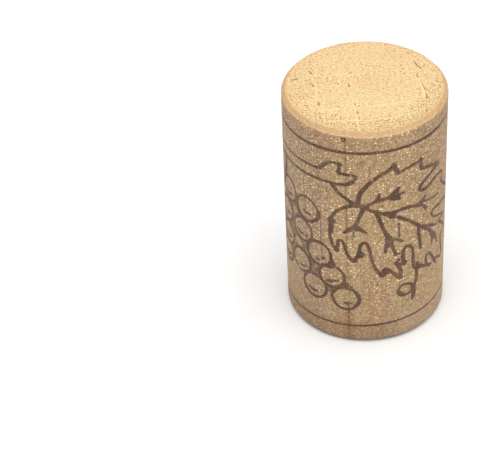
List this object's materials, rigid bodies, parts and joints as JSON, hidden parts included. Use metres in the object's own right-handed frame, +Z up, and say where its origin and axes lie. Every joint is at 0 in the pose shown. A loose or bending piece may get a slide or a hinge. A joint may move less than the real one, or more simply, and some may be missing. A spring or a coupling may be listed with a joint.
{
  "type": "wooden bottle stopper",
  "caption": "Straight-sided turned wooden bottle stopper in the form of a wine cork, with bevelled ends and a printed vine ornament round the side.",
  "frame": {"origin": "centre of the lower end face", "axes": "+Z up the stopper's axis, to the upper end face; X and Y lie in the lower end face"},
  "size_m": [0.0234, 0.0234, 0.038],
  "materials": {
    "stopper_wood": "bare tumbled wood with a dull wax sheen and a brown ink print on the side"
  },
  "bodies": {
    "root": {"stopper": "stopper_wood"}
  },
  "joints": []
}
